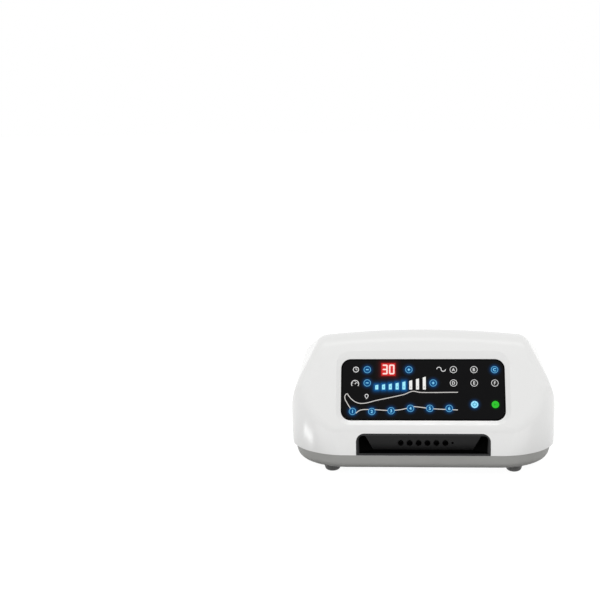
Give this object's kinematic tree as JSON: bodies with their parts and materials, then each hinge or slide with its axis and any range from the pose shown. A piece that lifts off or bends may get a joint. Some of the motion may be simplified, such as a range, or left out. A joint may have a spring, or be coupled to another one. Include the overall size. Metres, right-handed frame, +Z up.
{
  "type": "compression therapy pump",
  "caption": "Desk-top air pump with a domed shell, a leaning panel of round keys and lights, and a multi-way hose socket low at the front.",
  "frame": {"origin": "on the table, under the middle of the console's box", "axes": "+X to the user's right along the front, +Y to the back, +Z up"},
  "size_m": [0.274, 0.205, 0.1382],
  "materials": {
    "white_shell": "gloss",
    "grey_tray": "satin",
    "panel_black": "gloss",
    "socket_black": "satin",
    "port_black": "satin",
    "foot_rubber": "matt",
    "foam": "matt",
    "circuit_board": "satin",
    "black_components": "satin",
    "light_red": "gloss",
    "light_blue": "gloss",
    "grey_moulding": "satin",
    "silicone_hose": "satin",
    "valve_plastic": "satin",
    "pump_alloy": "satin",
    "copper_wire": "satin",
    "steel_core": "satin",
    "steel": "satin",
    "felt": "matt",
    "glass": "gloss",
    "plated_brass": "satin",
    "inlet_black": "satin"
  },
  "bodies": {
    "console": {"air_ports": "port_black", "air_tubes": "silicone_hose", "buzzer": "black_components", "capacitors": "black_components", "compressor_coils": "copper_wire", "compressor_frame": "pump_alloy", "compressor_heads": "valve_plastic", "compressor_mounts": "foot_rubber", "control_board": "circuit_board", "control_board_screws": "steel", "control_panel": "panel_black", "foot_back_left": "foot_rubber", "foot_back_right": "foot_rubber", "foot_front_left": "foot_rubber", "foot_front_right": "foot_rubber", "fuse": "glass", "housing_screws": "steel", "infrared_receiver": "black_components", "inlet_pins": "plated_brass", "intake_filter": "felt", "lower_housing": "grey_tray", "main_board": "circuit_board", "main_board_screws": "steel", "panel_gasket": "foam", "port_plates": "port_black", "power_inlet": "inlet_black", "pressure_bars": "light_blue", "socket_frame": "socket_black", "socket_screws": "steel", "socket_sill": "socket_black", "supply_tube": "silicone_hose", "switch_housing": "inlet_black", "tact_switches": "black_components", "timer_display": "light_red", "transformer": "steel_core", "upper_housing": "white_shell", "valve_body": "valve_plastic", "valve_motor": "steel"},
    "key_mode_a": {"key_mode_a": "panel_black"},
    "key_mode_b": {"key_mode_b": "panel_black"},
    "key_mode_c": {"key_mode_c": "panel_black"},
    "key_mode_d": {"key_mode_d": "panel_black"},
    "key_mode_e": {"key_mode_e": "panel_black"},
    "key_mode_f": {"key_mode_f": "panel_black"},
    "key_position_1": {"key_position_1": "panel_black"},
    "key_position_2": {"key_position_2": "panel_black"},
    "key_position_3": {"key_position_3": "panel_black"},
    "key_position_4": {"key_position_4": "panel_black"},
    "key_position_5": {"key_position_5": "panel_black"},
    "key_position_6": {"key_position_6": "panel_black"},
    "key_power": {"key_power": "panel_black"},
    "key_pressure_minus": {"key_pressure_minus": "panel_black"},
    "key_pressure_plus": {"key_pressure_plus": "panel_black"},
    "key_start": {"key_start": "panel_black"},
    "key_time_minus": {"key_time_minus": "panel_black"},
    "key_time_plus": {"key_time_plus": "panel_black"},
    "pump_armature": {"compressor_armature": "steel_core"},
    "distributor_rotor": {"valve_rotor": "grey_moulding"},
    "switch_rocker": {"power_rocker": "inlet_black"}
  },
  "joints": [
    {"name": "mode_a_press", "type": "slide", "parent": "console", "child": "key_mode_a", "axis": [0, 0.8572, -0.515], "range_m": [0, 0.0005], "stiffness_N_per_m": 400, "springref_m": -0.0005},
    {"name": "mode_b_press", "type": "slide", "parent": "console", "child": "key_mode_b", "axis": [0, 0.8572, -0.515], "range_m": [0, 0.0005], "stiffness_N_per_m": 400, "springref_m": -0.0005},
    {"name": "mode_c_press", "type": "slide", "parent": "console", "child": "key_mode_c", "axis": [0, 0.8572, -0.515], "range_m": [0, 0.0005], "stiffness_N_per_m": 400, "springref_m": -0.0005},
    {"name": "mode_d_press", "type": "slide", "parent": "console", "child": "key_mode_d", "axis": [0, 0.8572, -0.515], "range_m": [0, 0.0005], "stiffness_N_per_m": 400, "springref_m": -0.0005},
    {"name": "mode_e_press", "type": "slide", "parent": "console", "child": "key_mode_e", "axis": [0, 0.8572, -0.515], "range_m": [0, 0.0005], "stiffness_N_per_m": 400, "springref_m": -0.0005},
    {"name": "mode_f_press", "type": "slide", "parent": "console", "child": "key_mode_f", "axis": [0, 0.8572, -0.515], "range_m": [0, 0.0005], "stiffness_N_per_m": 400, "springref_m": -0.0005},
    {"name": "position_1_press", "type": "slide", "parent": "console", "child": "key_position_1", "axis": [0, 0.8572, -0.515], "range_m": [0, 0.0005], "stiffness_N_per_m": 400, "springref_m": -0.0005},
    {"name": "position_2_press", "type": "slide", "parent": "console", "child": "key_position_2", "axis": [0, 0.8572, -0.515], "range_m": [0, 0.0005], "stiffness_N_per_m": 400, "springref_m": -0.0005},
    {"name": "position_3_press", "type": "slide", "parent": "console", "child": "key_position_3", "axis": [0, 0.8572, -0.515], "range_m": [0, 0.0005], "stiffness_N_per_m": 400, "springref_m": -0.0005},
    {"name": "position_4_press", "type": "slide", "parent": "console", "child": "key_position_4", "axis": [0, 0.8572, -0.515], "range_m": [0, 0.0005], "stiffness_N_per_m": 400, "springref_m": -0.0005},
    {"name": "position_5_press", "type": "slide", "parent": "console", "child": "key_position_5", "axis": [0, 0.8572, -0.515], "range_m": [0, 0.0005], "stiffness_N_per_m": 400, "springref_m": -0.0005},
    {"name": "position_6_press", "type": "slide", "parent": "console", "child": "key_position_6", "axis": [0, 0.8572, -0.515], "range_m": [0, 0.0005], "stiffness_N_per_m": 400, "springref_m": -0.0005},
    {"name": "power_press", "type": "slide", "parent": "console", "child": "key_power", "axis": [0, 0.8572, -0.515], "range_m": [0, 0.0005], "stiffness_N_per_m": 400, "springref_m": -0.0005},
    {"name": "pressure_minus_press", "type": "slide", "parent": "console", "child": "key_pressure_minus", "axis": [0, 0.8572, -0.515], "range_m": [0, 0.0005], "stiffness_N_per_m": 400, "springref_m": -0.0005},
    {"name": "pressure_plus_press", "type": "slide", "parent": "console", "child": "key_pressure_plus", "axis": [0, 0.8572, -0.515], "range_m": [0, 0.0005], "stiffness_N_per_m": 400, "springref_m": -0.0005},
    {"name": "start_press", "type": "slide", "parent": "console", "child": "key_start", "axis": [0, 0.8572, -0.515], "range_m": [0, 0.0005], "stiffness_N_per_m": 400, "springref_m": -0.0005},
    {"name": "time_minus_press", "type": "slide", "parent": "console", "child": "key_time_minus", "axis": [0, 0.8572, -0.515], "range_m": [0, 0.0005], "stiffness_N_per_m": 400, "springref_m": -0.0005},
    {"name": "time_plus_press", "type": "slide", "parent": "console", "child": "key_time_plus", "axis": [0, 0.8572, -0.515], "range_m": [0, 0.0005], "stiffness_N_per_m": 400, "springref_m": -0.0005},
    {"name": "armature_swing", "type": "slide", "parent": "console", "child": "pump_armature", "axis": [1, 0, 0], "range_m": [-0.0015, 0.0015], "stiffness_N_per_m": 3000},
    {"name": "rotor_turn", "type": "hinge", "parent": "console", "child": "distributor_rotor", "pos_m": [0, -0.0295, 0.03], "axis": [0, 0, 1], "continuous": true},
    {"name": "rocker_tilt", "type": "hinge", "parent": "console", "child": "switch_rocker", "pos_m": [0.046, 0.0946, 0.046], "axis": [1, 0, 0], "range_deg": [0, 20]}
  ]
}
